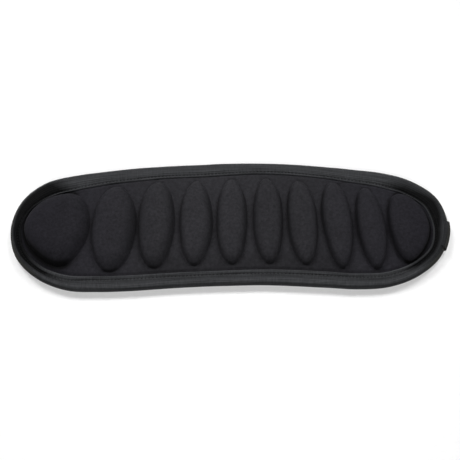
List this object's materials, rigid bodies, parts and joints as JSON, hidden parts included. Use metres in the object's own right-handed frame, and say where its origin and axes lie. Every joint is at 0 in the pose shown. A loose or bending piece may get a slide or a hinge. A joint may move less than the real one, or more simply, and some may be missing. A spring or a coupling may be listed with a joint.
{
  "type": "padded instrument shoulder rest",
  "caption": "Bowed padded shoulder rest with raised oval cells, a sewn binding round the edge and hinged hook-and-loop strap keepers on the back.",
  "frame": {"origin": "under the middle of the pad, on the plane its rim rests on", "axes": "+X along the pad, +Y towards the bowed-out long side, +Z out of the raised cells; the strap keepers are on the -Z side"},
  "size_m": [0.3086, 0.0962, 0.0196],
  "materials": {
    "cover_fabric": "fine black knit, matte",
    "cushion_foam": "soft moulded foam, matte",
    "base_foam": "closed-cell foam sheet, matte",
    "lining_fabric": "plain woven lining, matte",
    "binding_tape": "ribbed folded binding tape, slight sheen",
    "thread": "twisted sewing thread",
    "webbing": "ribbed flat webbing",
    "hook_tape": "hook tape, stiff",
    "loop_tape": "loop tape, napped"
  },
  "bodies": {
    "pad": {"top_cover": "cover_fabric", "cell_cushion_01": "cushion_foam", "cell_cushion_02": "cushion_foam", "cell_cushion_03": "cushion_foam", "cell_cushion_04": "cushion_foam", "cell_cushion_05": "cushion_foam", "cell_cushion_06": "cushion_foam", "cell_cushion_07": "cushion_foam", "cell_cushion_08": "cushion_foam", "cell_cushion_09": "cushion_foam", "cell_cushion_10": "cushion_foam", "base_foam": "base_foam", "back_lining": "lining_fabric", "edge_binding": "binding_tape", "binding_needle_thread": "thread", "binding_bobbin_thread": "thread", "left_keeper_root": "webbing", "left_root_stitch": "thread", "left_loop_patch": "loop_tape", "left_loop_stitch": "thread", "right_keeper_root": "webbing", "right_root_stitch": "thread", "right_loop_patch": "loop_tape", "right_loop_stitch": "thread"},
    "left_keeper": {"left_keeper_tab": "webbing", "left_hook_patch": "hook_tape", "left_hook_stitch": "thread"},
    "right_keeper": {"right_keeper_tab": "webbing", "right_hook_patch": "hook_tape", "right_hook_stitch": "thread"}
  },
  "joints": [
    {"name": "left_keeper_hinge", "type": "hinge", "parent": "pad", "child": "left_keeper", "pos_m": [-0.07845, 0.02196, 0.0009], "axis": [1, 0, 0], "range_deg": [0, 160]},
    {"name": "right_keeper_hinge", "type": "hinge", "parent": "pad", "child": "right_keeper", "pos_m": [0.07755, 0.02196, 0.0009], "axis": [1, 0, 0], "range_deg": [0, 160]}
  ]
}
